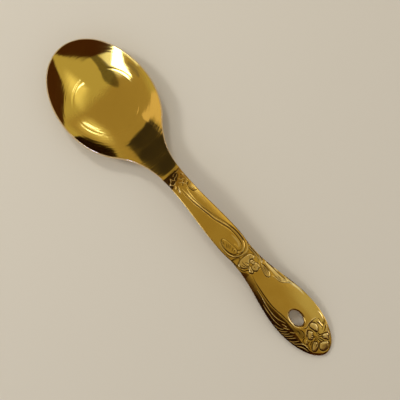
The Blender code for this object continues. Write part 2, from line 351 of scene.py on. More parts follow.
bowl, ray_share, ring_share = new_grid("bowl_and_neck", rays, rings)
ray = np.rint(ray_share * rays).astype(int)
ring = np.rint((ring_share + 1) / 2 * rings)
reach = np.hypot(ends_x[ray] - BOWL_CENTRE, ends_y[ray])
marks = [0, FLOOR_RINGS, FLOOR_RINGS + CREASE_RINGS, rings]
inner, outer = FLOOR_RADIUS - CREASE_REACH, FLOOR_RADIUS + CREASE_REACH
radius = np.interp(ring, marks, [0, inner, outer, outer])
radius = radius + np.clip((ring - marks[2]) / WALL_RINGS, 0, 1) * (reach - outer)
x = BOWL_CENTRE + (ends_x[ray] - BOWL_CENTRE) * radius / reach
y = ends_y[ray] * radius / reach
place(bowl, x, y, face_height(x, y))
on_rim = ring > rings - 0.5
set_attribute(bowl, "rim", on_rim)
# A painted highlight pales the coat along the rim, but not at the seam with the stem.
set_attribute(bowl, "rim_highlight", on_rim & (x < STEM_START - RIM_ROUND))
bpy.ops.object.mode_set(mode="EDIT")
bpy.ops.mesh.select_all(action="SELECT")
bpy.ops.mesh.remove_doubles(threshold=SAME_POINT)
bpy.ops.object.mode_set(mode="OBJECT")
set_heights(bowl, *give_thickness(bowl), [STEM_START])
round_rim(bowl, [STEM_START])
print("bowl and neck faces:", len(bowl.data.polygons))

# %% [markdown]
# ## Drawing the ornament
# The handle's ornament was struck by a die, so it is one metal with the handle. It could be laid on as
# separate curves, but a struck relief has soft roots and no gaps, so it is drawn as heights over a fine
# sheet. A few kinds of mark are enough: a rounded ridge, a groove, a domed petal inside an outline, and a
# field that is only tinted. Each follows a smooth curve through a few points, in millimetres along and
# across the spoon, and also says how much darker it makes the coat, with painted shade where it is a
# field, and how much painted highlight lies on it, for the material.

# %% Curves
CURVE_STEPS = 8
FARTHEST, TINY_STEP = 1e9, 1e-12


def through(points, closed=False):
    """A smooth curve through the points, by the Catmull-Rom rule."""
    spots = np.array(points, float)
    if closed:
        spots = np.concatenate([spots[-1:], spots, spots[:2]])
    else:
        spots = np.concatenate([2 * spots[:1] - spots[1:2], spots, 2 * spots[-1:] - spots[-2:-1]])
    t = np.linspace(0, 1, CURVE_STEPS, endpoint=False)[:, None]
    parts = []
    for a, b, c, d in zip(spots, spots[1:], spots[2:], spots[3:]):
        bent = 2 * b + (c - a) * t + (2 * a - 5 * b + 4 * c - d) * t**2 + (3 * b - a - 3 * c + d) * t**3
        parts.append(bent / 2)
    return np.concatenate(parts + [spots[-2:-1]])


def away_from(line, x, y):
    """Each point's distance from the line, and how far along the line its nearest spot is."""
    best = np.full(x.shape, FARTHEST)
    share = np.zeros(x.shape)
    for n, (start, end) in enumerate(zip(line, line[1:])):
        step = end - start
        t = ((x - start[0]) * step[0] + (y - start[1]) * step[1]) / max(step @ step, TINY_STEP)
        t = np.clip(t, 0, 1)
        far = np.hypot(x - start[0] - t * step[0], y - start[1] - t * step[1])
        closer = far < best
        best = np.where(closer, far, best)
        share = np.where(closer, (n + t) / (len(line) - 1), share)
    return best, share


def is_inside(line, x, y):
    """Whether each point is inside a closed line: a ray from it crosses the line an odd number of times."""
    odd = np.zeros(x.shape, bool)
    for (x0, y0), (x1, y1) in zip(line, line[1:]):
        spans = (y0 > y) != (y1 > y)
        cross = x0 + (y - y0) * (x1 - x0) / (y1 - y0 + TINY_STEP)
        odd ^= spans & (x < cross)
    return odd


print("steps between two points of a curve:", CURVE_STEPS)

# %% Relief marks
# The die's depth scales every height below, so that the whole ornament can be struck deeper or shallower.
STRIKE = 0.5
TAPER_MARKS = [0, 0.25, 0.75, 1]
# A petal's painted highlight is strongest on a band inside its outline: how many groove widths in that lies,
# and how much of the highlight is found only there.
BAND, BAND_SHARE = 1.5, 0.5


class Relief:
    """Heights in mm over the face's points, and from 0 to 1 how dark, with painted shade in the fields, and
    how much painted highlight each point has.
    """

    def __init__(self, x, y):
        self.x, self.y = x, y
        self.height, self.recess, self.painted_highlight = np.zeros((3, len(x)))

    def near(self, line, reach):
        """Which points are in a box round the line. The others needn't be looked at."""
        low, high = line.min(0) - reach, line.max(0) + reach
        inside = (self.x > low[0]) & (self.x < high[0]) & (self.y > low[1]) & (self.y < high[1])
        return np.nonzero(inside)[0]

    def stroke(self, points, half, height, dark=0.0, shine=0.0, taper=(1, 1)):
        """A rounded ridge, or a groove where height is below 0. The taper gives its ends' widths."""
        line = through(points)
        spots = self.near(line, half)
        far, share = away_from(line, self.x[spots], self.y[spots])
        wide = half * np.interp(share, TAPER_MARKS, [taper[0], 1, 1, taper[1]])
        bead = 1 - ease(far / wide)
        self.height[spots] += STRIKE * height * bead * wide / half
        # A ridge clears the darkening under it, and a groove clears the painted highlight.
        cleared = self.recess if height > 0 else self.painted_highlight
        cleared[spots] *= 1 - bead
        self.recess[spots] = np.maximum(self.recess[spots], dark * bead)
        self.painted_highlight[spots] = np.maximum(self.painted_highlight[spots], shine * bead)

    def petal(self, outline, height, edge, dip, dark, shine=0.0, groove=0.34):
        """A dome inside a closed outline that has a groove round it, and a painted highlight on a band
        inside that.
        """
        line = through(outline, closed=True)
        spots = self.near(line, groove)
        x, y = self.x[spots], self.y[spots]
        far = away_from(line, x, y)[0]
        inside = is_inside(line, x, y)
        dome = np.where(inside, np.sqrt(1 - (1 - np.clip(far / edge, 0, 1)) ** 2), 0)
        bead = 1 - ease(far / groove)
        self.height[spots] = np.maximum(self.height[spots], STRIKE * height * dome) - STRIKE * dip * bead
        self.recess[spots] = np.maximum(np.where(inside, 0, self.recess[spots]), dark * bead)
        band = np.clip(1 - np.abs(far / groove - BAND), 0, 1)
        band_highlight = shine * (1 - BAND_SHARE + BAND_SHARE * band)
        self.painted_highlight[spots] = np.where(inside, band_highlight, self.painted_highlight[spots]) * (1 - bead)

    def tint(self, outline, edge, dark=0.0, shine=0.0):
        """A field inside a closed outline, tinted with painted shade and painted highlight by the given
        shares.
        """
        line = through(outline, closed=True)
        spots = self.near(line, 0)
        x, y = self.x[spots], self.y[spots]
        share = np.where(is_inside(line, x, y), ease(away_from(line, x, y)[0] / edge), 0)
        self.recess[spots] = np.maximum(self.recess[spots], dark * share)
        self.painted_highlight[spots] = np.maximum(self.painted_highlight[spots], shine * share)


print("the die strikes heights times", STRIKE)

# %% [markdown]
# ## The scroll on the stem
# From the neck a band of strands sweeps across the stem, swells, and curls back under itself at the waist
# in a hook with a feathered eye. Long grooves separate the strands, and the smooth tongue of the stem
# ends inside the hook. Ridges are drawn first and grooves last, as they cut into what lies below them.

# %% Scroll strands
UPPER_GROOVE = [
    (111, 1.0), (117, 1.0), (124, 2.1), (130, 3.4), (135, 4.75), (140, 6.0), (143, 6.5), (147, 6.75),
    (150, 6.55), (152, 6.0), (153.5, 5.2), (155, 3.8), (156, 2.2), (156.35, 0.6), (156.2, -1.0),
    (155.4, -2.8), (154, -4.1), (152, -5.0), (149.5, -5.5), (147, -5.45), (144.8, -5.0), (143, -4.2),
    (142.1, -3.3),
]
MIDDLE_GROOVE = [(106, -0.2), (110, -0.1), (115, 0.1), (118, 0.5), (122, 1.1), (126, 1.95), (130, 2.75),
                 (134, 3.85), (138, 5.1)]
LOWER_GROOVE = [
    (106.5, -1.9), (110, -2.1), (113, -1.8), (117, -1.3), (120, -0.7), (124, 0.0), (128, 0.75), (131, 1.3),
    (134, 2.3), (137, 3.3), (140, 4.25), (143, 4.75), (147, 4.8), (150, 4.5), (152, 3.9), (153.4, 2.8),
    (154.2, 1.5), (154.1, 0.4), (153.3, -0.4),
]
MAIN_RIDGE = [
    (106, -1.2), (110, -1.0), (114, -0.9), (118, -0.3), (122, 0.4), (126, 1.2), (130, 1.9), (135, 3.5),
    (140, 5.1), (143, 5.7), (146, 5.95), (150, 5.7), (152, 5.05), (153.5, 4.2), (154.6, 3.0), (155.3, 1.6),
    (155.3, 0.2), (154.6, -0.8), (153.2, -1.3), (151.6, -1.2),
]
SECOND_RIDGE = [(107, 1.2), (111, 0.4), (117, 0.6), (122, 1.5), (126, 2.35), (130, 3.1), (135, 4.3),
                (140, 5.6)]
TONGUE_EDGE = [(128, -0.3), (134, 1.4), (140, 3.2), (143, 3.75), (146, 3.95), (148.5, 3.85), (150.7, 3.3),
               (152.2, 2.4), (152.8, 1.2), (152.2, 0.5), (150, 0.2)]
TONGUE_SHINE = [(144, 3.0), (148, 3.2), (150.6, 2.8), (152, 1.8)]
HOOK_BORDER = [(142.4, -5.0), (145, -5.85), (148, -6.15), (151, -6.0), (153, -5.4), (154.8, -4.2),
               (156, -2.6), (157, -0.5), (157.25, 1.5), (157, 3.2), (156.2, 4.8), (154.8, 6.1), (153, 6.9)]
LOBE = [(153.0, -0.5), (150.8, -0.4), (148, -0.7), (145.4, -1.1), (143.3, -1.8), (142.2, -2.8),
        (142.8, -4.0), (144.8, -4.8), (147.4, -5.2), (150, -5.1), (152.4, -4.4), (154.2, -3.0),
        (154.6, -1.4)]
LOBE_FEATHERS = [
    [(145.8, -2.6), (147, -3.4), (147.9, -4.1)],
    [(148, -1.5), (148.6, -2.2), (149.6, -3.2)],
    [(150.4, -1.2), (150.8, -2.2), (151.6, -3.2)],
    [(143.4, -3.3), (144.4, -3.6), (145.6, -3.9)],
    [(146.9, -1.9), (147.6, -2.7), (148.6, -3.7)],
    [(152.2, -1.2), (152.4, -2.2), (153.0, -3.0)],
]
FAR_GROOVE = [(157.7, 4.4), (158.3, 2.6), (158.3, 0.5), (158.5, -1.2), (158.9, -2.8)]
DARK_FIELD = [(156.7, -3.3), (157.8, -2.5), (158.8, -3.6), (159.4, -5), (160.4, -6.6), (156.3, -6.9)]


def draw_scroll(relief):
    # Painted highlights lie on the tongue, the main ridge and the hook, and painted shade darkens the dark
    # field's hollow.
    relief.stroke(TONGUE_EDGE, half=1.6, height=0.26)
    relief.stroke(TONGUE_SHINE, half=0.9, height=0.06, shine=0.5, taper=(0.4, 0.6))
    relief.petal(LOBE, height=0.25, edge=1.6, dip=0.12, dark=0.7)
    relief.stroke(SECOND_RIDGE, half=0.55, height=0.14, taper=(0.5, 0.4))
    relief.stroke(MAIN_RIDGE, half=0.65, height=0.30, shine=0.25, taper=(0.4, 0.5))
    relief.stroke(HOOK_BORDER, half=0.6, height=0.20, shine=0.5, taper=(0.3, 0.6))
    relief.stroke(UPPER_GROOVE, half=0.38, height=-0.20, dark=0.95, taper=(0.3, 0.3))
    relief.stroke(MIDDLE_GROOVE, half=0.32, height=-0.14, dark=0.8, taper=(0.4, 0.3))
    relief.stroke(LOWER_GROOVE, half=0.38, height=-0.20, dark=0.9, taper=(0.5, 0.4))
    relief.stroke(FAR_GROOVE, half=0.42, height=-0.22, dark=0.95, taper=(0.6, 0.6))
    for feather in LOBE_FEATHERS:
        relief.stroke(feather, half=0.36, height=-0.18, dark=0.85, taper=(0.4, 0.4))
    relief.petal(DARK_FIELD, height=-0.3, edge=0.8, dip=0.1, dark=0.7, groove=0.9)


print("feathers in the scroll's eye:", len(LOBE_FEATHERS))

# %% [markdown]
# ## The leaves at the neck
# Where the polished neck meets the stem, a small cluster of leaves hides the change of finish. The leaves
# are ridges with painted highlights and dark pits between them, over a field of painted shade. Each could
# be a leaf-shaped petal, but at this size only their bright backs and the dark between them show, so strokes
# do.

# %% Neck leaves
NECK_RIDGES = [
    [(96.6, 5.6), (96.7, 4.2), (96.8, 2.8), (96.6, 1.8)],
    [(97.9, 2.4), (98.0, 1.8), (98.7, 1.0), (98.8, -0.3), (99.6, -0.9), (100.3, -1.0)],
    [(96.8, 0.9), (97.1, 0.1), (97.8, -0.3)],
    [(97.2, -2.5), (98.2, -2.2), (99.1, -1.9), (99.6, -0.9)],
    [(97.6, -2.6), (98.4, -2.9), (99.1, -3.2), (99.7, -4.4), (100.5, -4.2), (101.5, -3.4), (101.3, -2.0),
     (101.0, -1.0)],
    [(97.8, 4.1), (99.2, 4.6), (100.8, 4.8), (102.6, 4.6), (104.2, 4.5)],
    [(100.1, 1.2), (101.3, 1.7), (101.9, 3.0), (102.4, 3.9)],
    [(102.0, -0.4), (102.6, 0.1), (103.2, 1.2), (104.2, 1.9), (105.0, 2.3)],
    [(103.4, 3.8), (104.8, 3.3), (105.6, 2.6)],
    [(106.2, 5.0), (107.0, 4.6), (107.3, 3.6), (107.0, 2.8)],
    [(108.0, 3.2), (109.2, 3.6), (110.2, 4.6)],
    [(102.2, -2.4), (103.0, -3.4), (104.2, -4.2)],
    [(103.4, -1.5), (105.0, -2.4), (106.4, -2.8), (107.8, -3.4)],
]
NECK_PITS = [
    [(97.2, 1.2), (97.7, 1.4)],
    [(98.3, 2.3), (98.9, 2.3)],
    [(99.1, 0.2), (99.3, 0.1)],
    [(98.2, -0.9), (98.8, -1.1)],
    [(100.3, -1.6), (100.6, -2.3), (100.9, -3.0)],
    [(97.2, -3.8), (98.1, -4.4), (98.8, -4.7)],
    [(99.4, -5.4), (101.1, -4.8), (102.4, -4.0)],
    [(100.2, 0.3), (100.7, -0.2)],
    [(99.2, 3.9), (99.9, 3.5)],
    [(100.5, 2.9), (101.2, 2.3)],
    [(102.7, 3.1), (103.2, 2.6), (103.8, 1.9)],
    [(105.3, 4.2), (105.8, 3.3), (106.3, 2.4)],
    [(104.2, 0.9), (105.0, 0.4)],
    [(107.4, 2.3), (108.4, 2.3), (110.0, 2.6), (110.9, 3.3), (111.6, 4.8)],
    [(103.4, -2.3), (104.3, -2.9), (105.5, -3.2), (106.9, -3.8)],
]
NECK_SHADE = [(94.6, 6.2), (96.0, 5.2), (96.3, 3.2), (98.6, 3.0), (100.0, 1.4), (101.0, -0.2), (101.6, -1.8),
              (102.4, -3.4), (103.2, -5.2), (101, -6.4), (94.6, -6.5)]


def draw_neck_leaves(relief):
    # Painted shade over the whole cluster, then ridges with painted highlights and dark pits.
    relief.tint(NECK_SHADE, edge=0.7, dark=0.95)
    for ridge in NECK_RIDGES:
        relief.stroke(ridge, half=0.42, height=0.30, shine=0.5, taper=(0.5, 0.5))
    for pit in NECK_PITS:
        relief.stroke(pit, half=0.45, height=-0.30, dark=0.95, taper=(0.7, 0.6))


print("neck leaves:", len(NECK_RIDGES), "ridges,", len(NECK_PITS), "pits")

# %% [markdown]
# ## The blossom at the waist
# A blossom with one broad veined petal and a scalloped far side sits on the waist, with a striped ribbon
# beside it. A slender bud and a long leaf grow from it along the grip's edge, which carries painted
# highlights. Petals are drawn over the leaf and the ribbon, since they lie on top of them.

# %% Waist blossom
WAIST_PETALS = [
    [(158.7, 0.8), (159.3, 3.2), (160.7, 4.7), (162.3, 4.8), (163.2, 3.6), (162.4, 2.0), (162.4, 0.8),
     (163.6, -0.3), (164.8, -1.6), (164.9, -3.2), (164.0, -4.8), (162.4, -5.8), (160.6, -5.7),
     (159.3, -4.5), (158.6, -2.4)],
    [(162.7, 0.7), (162.7, 1.8), (163.5, 2.7), (164.7, 2.8), (165.6, 2.0), (165.5, 1.0), (164.4, 0.5)],
    [(165.7, 2.9), (166.7, 3.7), (168.2, 3.5), (169.5, 2.7), (169.3, 1.6), (169.9, 0.8), (169.7, -0.3),
     (168.5, -1.1), (166.8, -1.0), (165.8, 0.0), (166.2, 1.2), (165.5, 2.1)],
    [(164.9, -0.9), (167, -1.4), (169.2, -2.0), (169.1, -3.0), (168, -3.4), (166.6, -2.9), (165.2, -2.2)],
]
WAIST_VEINS = [
    [(163.7, -0.5), (162.8, -1.2), (161.6, -1.6)],
    [(164.6, -1.5), (164.2, -2.8), (163.1, -3.8), (161.4, -4.2)],
    [(164.6, -3.6), (163.4, -4.9), (161.8, -5.3), (160.3, -4.9)],
    [(164.0, -2.2), (163.0, -2.8), (161.2, -3.0), (159.8, -2.6)],
    [(161.8, 1.4), (160.8, 2.6), (160.6, 3.8)],
    [(163.9, 0.9), (164.2, 1.7), (164.9, 2.1)],
    [(166.3, 0.7), (167.3, 0.5), (168.5, 0.6)],
    [(167.9, 2.5), (168.7, 2.4), (169.4, 2.2)],
    [(166.8, -2.0), (167.8, -2.4), (168.6, -2.5)],
]
WAIST_EDGE = [(170, 3.0), (169.8, 1.6), (170.2, 0.6), (170, -0.5), (169, -1.3), (169.6, -2.2), (169.4, -3.2),
              (168.2, -3.8), (166.6, -3.3), (165.9, -4.2), (165.3, -5.4), (164, -6.3), (162.5, -6.7),
              (161, -6.5)]
RIBBON_GROOVES = [
    [(164.2, 6.6), (160, 6.75), (157.2, 6.6), (156.2, 6.1), (157, 5.6), (160, 5.6), (163.4, 5.5)],
    [(164.4, 5.7), (165.6, 5.0), (166.6, 4.1)],
    [(165.4, 7.5), (166.4, 7.6), (167.2, 7.3)],
]
RIBBON_RIDGES = [
    [(155.5, 7.3), (160, 7.5), (164, 7.3)],
    [(157, 6.1), (160, 6.15), (164, 6.1), (166.5, 6.0), (168.4, 5.2), (169.6, 4.4)],
    [(164.8, 6.9), (166.8, 6.6), (168.6, 6.3)],
]
BUD = [(168.4, 4.7), (170, 5.7), (172.6, 5.8), (175, 5.6), (177, 4.6), (177.7, 3.4), (176.8, 2.4),
       (175, 2.2), (172.6, 2.7), (170.2, 3.5)]
BUD_VEINS = [
    [(169.8, 5.0), (172.6, 4.4), (175.6, 3.2)],
    [(170.6, 5.5), (173.6, 5.1), (176.2, 4.2)],
    [(170.0, 4.0), (172.6, 3.4), (174.8, 2.8)],
]
EDGE_LEAF = [(169.4, 7.7), (170.2, 6.7), (173, 6.4), (177, 6.4), (180, 6.5), (183.4, 7.0), (185.4, 8.0),
             (186.3, 9.1), (185, 9.6), (182, 9.2), (178, 8.9), (174, 8.6), (171, 8.3)]
EDGE_LEAF_RIDGES = [
    [(178.4, 5.2), (180.5, 6.0), (183.4, 6.5), (185.4, 7.6), (186.8, 9.0), (188.4, 10.2), (191, 10.9)],
    [(171, 9.0), (176, 9.6), (182, 10.3), (186, 10.9), (190, 11.4)],
]
EDGE_SHINE = [
    [(146, 6.9), (152, 7.0), (158, 6.7), (163, 6.9), (168, 7.4), (167.6, 8.6), (160, 8.0), (150, 8.4)],
    [(168.2, 7.9), (169.4, 6.9), (172, 6.8), (176, 6.9), (178.6, 8.2), (178.4, 9.9), (174, 9.2),
     (170, 8.5)],
    [(182.6, 10.4), (185.0, 9.5), (187.2, 9.2), (190, 10.0), (195, 11.2), (201, 12.0), (196, 12.8),
     (188, 11.8)],
]
EDGE_LEAF_MARKS = [
    [(180.4, 7.5), (182.4, 7.5), (183.6, 7.3)],
    [(184.4, 8.8), (185.4, 8.5)],
]


def draw_waist_blossom(relief):
    # Ridges, leaf, bud and petals carry painted highlights, and their outlines are darkened.
    for ridge in RIBBON_RIDGES:
        relief.stroke(ridge, half=0.5, height=0.22, shine=0.7, taper=(0.6, 0.5))
    relief.petal(EDGE_LEAF, height=0.22, edge=1.3, dip=0.04, dark=0.3, shine=0.8)
    # Painted highlights along the grip's edge.
    for field in EDGE_SHINE:
        relief.tint(field, edge=0.9, shine=0.9)
    for ridge in EDGE_LEAF_RIDGES:
        relief.stroke(ridge, half=0.6, height=0.26, shine=0.8, taper=(0.4, 0.3))
    relief.petal(BUD, height=0.35, edge=1.4, dip=0.16, dark=0.8, shine=0.4)
    for petal in WAIST_PETALS:
        relief.petal(petal, height=0.30, edge=1.5, dip=0.16, dark=0.75, shine=0.5)
    relief.stroke(WAIST_EDGE, half=0.42, height=-0.25, dark=0.95, taper=(0.6, 0.6))
    for groove in RIBBON_GROOVES + WAIST_VEINS + BUD_VEINS + EDGE_LEAF_MARKS:
        relief.stroke(groove, half=0.38, height=-0.18, dark=0.75, taper=(0.4, 0.4))


print("waist blossom petals:", len(WAIST_PETALS))

# %% [markdown]
# ## The grip's panel, waves and tip blossom
# The grip has a smooth panel with the hanging hole. A crease along one side turns the metal down to the
# edge, where long lines run into a row of wave-like ribs, and a blossom fills the tip. Painted shade
# darkens the low ground beside the ribs, round the hole and at the tip, so these tinted fields are laid
# first.

# %% Grip ornament
PANEL_CREASE = [(170.6, -3.6), (173, -4.3), (176, -5.0), (180, -5.7), (185, -6.3), (190, -6.7), (195, -6.5),
                (200, -5.9), (204, -5.5), (208, -5.3), (211.5, -5.6)]
SIDE_LINES = [
    [(179, -7.0), (184, -7.8), (188, -8.7), (192, -9.3), (196, -9.6), (200, -9.3), (203, -8.3),
     (205.4, -7.4)],
    [(188, -10.2), (193, -10.9), (197, -11.3), (200, -11.4), (203, -11.1), (206.4, -10.3)],
]
WAVE_RIBS = [
    [(201.3, -13.0), (204, -12.7), (206, -11.9), (207.6, -10.6)],
    [(205.6, -13.5), (207.6, -12.4), (209, -11.0), (209.8, -9.8)],
    [(208.0, -13.5), (209.8, -12.2), (211, -10.8), (211.6, -9.6)],
    [(210.2, -13.2), (211.8, -11.9), (213, -10.3), (213.8, -9.0)],
    [(212.8, -12.6), (214.2, -11.0), (215.2, -9.5), (215.8, -8.6)],
    [(214.6, -12.8), (216.4, -11.6), (217.6, -9.9), (218.4, -8.3)],
    [(217.0, -12.0), (218.6, -11.0), (219.6, -9.6), (221.2, -8.0), (223, -7.3), (225, -7.2)],
    [(219.8, -11.2), (221.2, -10.2), (222.8, -9.2), (224.5, -8.7), (226.6, -8.3)],
    [(204.2, -9.4), (206.2, -8.7), (208, -8.5)],
    [(206.6, -10.2), (208.0, -9.4), (209.6, -8.1)],
    [(211.2, -8.9), (212.4, -7.9), (213.2, -7.0)],
]
TIP_PETALS = [
    [(215.0, 2.9), (214.9, 4.0), (215.8, 5.3), (217.3, 6.0), (219.1, 5.7), (220.6, 4.9), (221.4, 3.8),
     (220.9, 2.7), (219.3, 2.4), (217.7, 2.0), (216.2, 1.9)],
    [(217.4, -0.3), (218.3, 0.8), (219.6, 1.2), (220.8, 0.6), (222.0, -0.4), (222.9, -1.6), (222.6, -2.6),
     (221.4, -3.4), (220.0, -2.8), (218.6, -1.8)],
    [(224.5, -1.9), (226.1, -0.8), (227.5, -1.3), (228.4, -2.0), (229.4, -3.6), (229.5, -5.1), (228.4, -6.1),
     (226.8, -5.4), (225.4, -3.9)],
    [(227.3, 0.5), (228.3, 2.8), (229.8, 4.4), (231.4, 4.1), (232.6, 2.6), (232.9, 0.4), (232.2, -1.4),
     (230.5, -2.2), (229.0, -1.6), (228.0, -0.7)],
    [(224.6, 5.0), (225.4, 7.0), (226.8, 7.7), (228.4, 6.8), (229.6, 5.4), (228.4, 4.5), (226.8, 3.7),
     (225.4, 3.6)],
]
TIP_LINES = [
    [(216.6, 6.9), (218.9, 7.4), (221.3, 7.3), (222.6, 6.4)],
    [(215.8, 9.1), (217, 9.1), (218, 8.8), (219.4, 8.5)],
    [(219.2, 9.6), (220.2, 9.0), (221.2, 8.7)],
    [(219.2, 11.4), (220.2, 10.2), (221.2, 8.9)],
    [(222.0, 10.4), (222.5, 9.6), (223.2, 8.4), (223.8, 7.1), (224.0, 6.0)],
    [(221.8, 3.4), (223.0, 3.2), (224.4, 3.9)],
    [(223.0, 0.6), (222.0, 0.1), (220.6, -0.5)],
    [(223.2, 0.2), (222.6, -0.6), (221.6, -1.6)],
    [(223.8, 0.1), (224.4, -1.0), (225.6, -2.2), (226.6, -3.4)],
    [(224.2, 0.4), (225.6, -0.4), (227.0, -1.8), (227.8, -3.2)],
    [(224.6, 0.9), (226.3, 1.0), (228.4, 1.2)],
    [(224.4, 1.6), (226.2, 2.2), (228.6, 3.0)],
    [(224.0, 1.9), (225.2, 3.4), (226.4, 5.2)],
    [(223.4, 2.2), (223.8, 3.4), (224.8, 5.8)],
    [(222.8, 2.0), (221.4, 2.8), (219.8, 3.5)],
    [(223.4, 1.0), (223.9, 1.1)],
    [(214.4, -3.4), (215.6, -3.1), (217.2, -3.4), (218.6, -4.4), (218.5, -6.0)],
    [(219.4, -4.6), (219.6, -5.8), (220.6, -6.8), (222.4, -7.0)],
    [(222.8, -4.0), (223.2, -5.4), (224.6, -6.4), (226.6, -6.9)],
    [(223.6, -2.6), (224.2, -3.8), (225.2, -5.0)],
    [(213.6, -5.0), (215.2, -5.2), (216.6, -5.9)],
]
TIP_EDGES = [
    [(212.6, 11.9), (214.6, 11.9), (216.6, 11.6), (218.2, 11.0)],
    [(216.6, 8.0), (218.0, 8.1), (219.6, 8.0), (221.2, 8.0)],
    [(221.6, 10.6), (223.2, 9.6), (225.2, 8.4), (227.2, 7.9), (229.0, 6.6)],
    [(220.8, -4.4), (221.6, -5.4), (223.0, -6.2)],
    [(216.0, 0.6), (216.6, -0.8), (217.6, -2.2), (219.2, -3.4)],
]
TIP_SHADE = [(212.4, -3.2), (215, -2.4), (217.4, -2.8), (218.8, -4.6), (218.6, -6.6), (216.4, -7.4),
             (213.6, -6.6), (212, -5.0)]
SIDE_SHADE_BAND = [(176, -6.4), (182, -6.9), (190, -7.2), (198, -6.8), (204, -6.0), (209, -5.6), (213, -6.0),
             (214, -8.6), (208, -9.6), (200, -11), (190, -11), (182, -9.4)]
HOLE_SHADE = [(199, -5.6), (204, -5.4), (209, -5.4), (213, -3.6), (215, -5.6), (212, -7.8), (205, -7.6),
              (199, -6.8)]
SIDE_SHADE = [(178, -8.6), (183, -8.8), (188, -9.6), (196, -10.2), (202, -9.6), (206, -9.4), (212, -8.4),
              (217, -7.8), (222, -7.0), (227.6, -7.2), (228, -9.4), (225, -12), (219, -14), (212, -15),
              (204, -15.5), (196, -14.5), (186, -12.5), (180, -10.5)]
HOLE_SHINE = [(203.6, 2.9), (201.4, 1.0), (201.0, -0.6), (202.2, -2.8), (205.3, -4.3), (209.2, -4.4),
              (212.4, -3.0)]
PANEL_END = [(214.6, 8.4), (214.2, 6), (214.1, 4), (214.5, 2), (215.1, 0.4), (214.6, -1.2)]


def draw_grip(relief):
    # Painted shade on the low ground beside the ribs, round the hole and at the tip.
    relief.tint(SIDE_SHADE_BAND, edge=1.5, dark=0.45)
    relief.tint(HOLE_SHADE, edge=1.3, dark=0.7)
    relief.tint(SIDE_SHADE, edge=1.0, dark=0.75)
    relief.tint(TIP_SHADE, edge=1.2, dark=0.5)
    # Painted highlights on the panel's end, the hole's lip, the ribs and the tip's petals and edges.
    relief.stroke(PANEL_END, half=0.7, height=0.25, shine=0.4, taper=(0.5, 0.5))
    relief.stroke(HOLE_SHINE, half=0.8, height=0.06, shine=0.7, taper=(0.4, 0.5))
    for line in SIDE_LINES + WAVE_RIBS:
        relief.stroke(line, half=0.34, height=0.34, shine=0.6, taper=(0.5, 0.5))
    for petal in TIP_PETALS:
        relief.petal(petal, height=0.40, edge=1.7, dip=0.2, dark=0.95, shine=0.5, groove=0.5)
    for edge in TIP_EDGES:
        relief.stroke(edge, half=0.42, height=0.28, shine=0.8, taper=(0.5, 0.5))
    for line in TIP_LINES:
        relief.stroke(line, half=0.42, height=-0.22, dark=0.95, taper=(0.6, 0.4))
    relief.stroke(PANEL_CREASE, half=0.55, height=-0.14, dark=0.75, taper=(0.4, 0.5))


print("tip petals:", len(TIP_PETALS), "wave ribs:", len(WAVE_RIBS))

# %% [markdown]
# ## The stem and the grip
# Both are grids with points about every fifth of a millimetre, enough to hold the ornament. The stem's
# rows run straight across. Past the widest station the grip's rows bend into the round of the tip, by a
# formula that maps a square onto a disc, so no point of the sheet is pinched. A punch drew the face down
# into the hanging hole, so the grip's face rolls over there.

# %% Ornament on a sheet
EDGE_COLUMN, EDGE_SHARE = 0.5, 0.999
HOLE_LIP, HOLE_LIP_DEPTH = 1.1, 0.8
# The handle lies nearer to the eye than the table that the drawing was measured on, so the drawing shrinks.
DRAWING_STATIONS = [101, 146, 157, 206, 220, 234]
DRAWING_SCALES = [1, 1.009, 1.0146, 1.0136, 1.007, 1.001]


def ornament(x, y):
    """All the marks, on the points of one sheet."""
    scale = np.interp(x, DRAWING_STATIONS, DRAWING_SCALES)
    relief = Relief(MIDDLE + (x - MIDDLE) * scale, y * scale)
    for draw in (draw_scroll, draw_neck_leaves, draw_waist_blossom, draw_grip):
        draw(relief)
    return relief


def hole_roll(x, y):
    """How far the face rolls down into the hanging hole."""
    along, across = x - HOLE_CENTRE, y - HOLE_SIDE_SHIFT
    share = np.maximum(np.hypot(along / (HOLE_LENGTH / 2), across / (HOLE_WIDTH / 2)), TINY)
    steep = np.hypot(along / (HOLE_LENGTH / 2) ** 2, across / (HOLE_WIDTH / 2) ** 2) / share
    away = np.clip((share - 1) / np.maximum(steep, TINY), 0, HOLE_LIP)
    return HOLE_LIP_DEPTH * (1 - np.sqrt(1 - (1 - away / HOLE_LIP) ** 2))


def spread(side, columns, width):
    """Columns across the handle. Those next to the edge keep a set distance from it, for the rim's bevel."""
    column = np.rint((side + 1) / 2 * columns)
    inner = (column - columns / 2) / (columns / 2 - 1) * (width - EDGE_COLUMN)
    return np.where(np.abs(side) > EDGE_SHARE, np.sign(side) * width, inner)


def dress_handle(piece, x, y, seams):
    """Gives a flat grid its underside, its heights with the ornament on them, and a rounded rim."""
    place(piece, x, y, face_height(x, y))
    is_face, x, y = give_thickness(piece)
    relief = ornament(x[is_face], y[is_face])
    height, recess, painted_highlight = np.zeros((3, len(x)))
    height[is_face], recess[is_face], painted_highlight[is_face] = relief.height, relief.recess, relief.painted_highlight
    set_heights(piece, is_face, x, y, seams, height - hole_roll(x, y))
    # The darkening, painted shade included, and the painted highlights go to the material.
    set_attribute(piece, "recess", recess)
    set_attribute(piece, "painted_highlight", painted_highlight)
    round_rim(piece, seams)
    print(piece.name, "relief in mm from", height.min().round(2), "to", height.max().round(2))


print("the hole's lip is", HOLE_LIP, "mm wide and", HOLE_LIP_DEPTH, "mm deep")

# %% Stem mesh
STEM_ROWS, STEM_COLUMNS = 312, 80

stem, along, side = new_grid("struck_stem", STEM_ROWS, STEM_COLUMNS)
x = STEM_START + along * (WAIST - STEM_START)
set_attribute(stem, "rim", np.abs(side) > EDGE_SHARE)
dress_handle(stem, x, spread(side, STEM_COLUMNS, half_width(x)), [STEM_START, WAIST])
print("stem faces:", len(stem.data.polygons))

# %% Grip mesh
GRIP_ROWS, TIP_ROWS, GRIP_COLUMNS = 222, 132, 122

